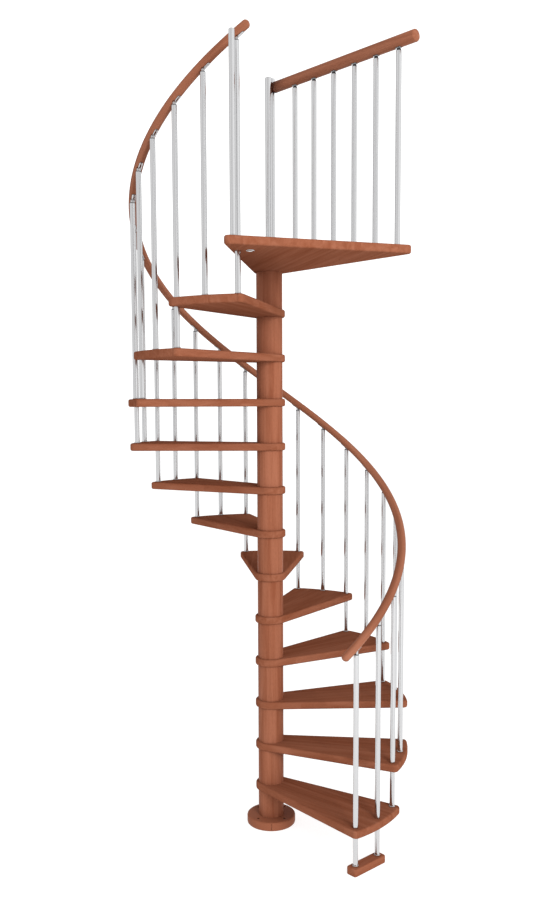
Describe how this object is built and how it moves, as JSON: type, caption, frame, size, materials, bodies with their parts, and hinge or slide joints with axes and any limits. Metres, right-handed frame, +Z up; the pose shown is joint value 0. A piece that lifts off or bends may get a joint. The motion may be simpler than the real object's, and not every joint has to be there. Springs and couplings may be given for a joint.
{
  "type": "spiral staircase",
  "caption": "Spiral staircase with wooden wedge treads on a central column, a three-cornered landing, chromed balusters and round wooden handrails.",
  "frame": {"origin": "centre of the base disc's underside, on the column's axis at floor level", "axes": "+Z up along the column; -Y towards the side from which the lowest tread is entered, +X to the right seen from there"},
  "size_m": [1.404, 1.5175, 3.766],
  "materials": {
    "wood": "satin cherry-stained beech",
    "tread_wood": "satin cherry-stained stave-laminated beech",
    "rail_wood": "satin cherry-stained beech",
    "chrome": "polished"
  },
  "bodies": {
    "root": {"base_disc": "wood", "centre_pole": "chrome", "spacer_01": "wood", "spacer_02": "wood", "spacer_03": "wood", "spacer_04": "wood", "spacer_05": "wood", "spacer_06": "wood", "spacer_07": "wood", "spacer_08": "wood", "spacer_09": "wood", "spacer_10": "wood", "spacer_11": "wood", "spacer_12": "wood", "spacer_13": "wood", "tread_01": "tread_wood", "tread_02": "tread_wood", "tread_03": "tread_wood", "tread_04": "tread_wood", "tread_05": "tread_wood", "tread_06": "tread_wood", "tread_07": "tread_wood", "tread_08": "tread_wood", "tread_09": "tread_wood", "tread_10": "tread_wood", "tread_11": "tread_wood", "tread_12": "tread_wood", "landing": "tread_wood", "under_cap": "chrome", "floor_block": "wood", "front_balusters": "chrome", "middle_balusters": "chrome", "baluster_collars": "chrome", "stair_handrail": "rail_wood", "handrail_brackets": "chrome", "landing_balusters": "chrome", "landing_collars": "chrome", "landing_handrail": "rail_wood", "landing_brackets": "chrome", "newel_post": "chrome", "end_post": "chrome", "rail_socket": "chrome", "corner_post": "chrome", "post_caps": "chrome"}
  },
  "joints": []
}
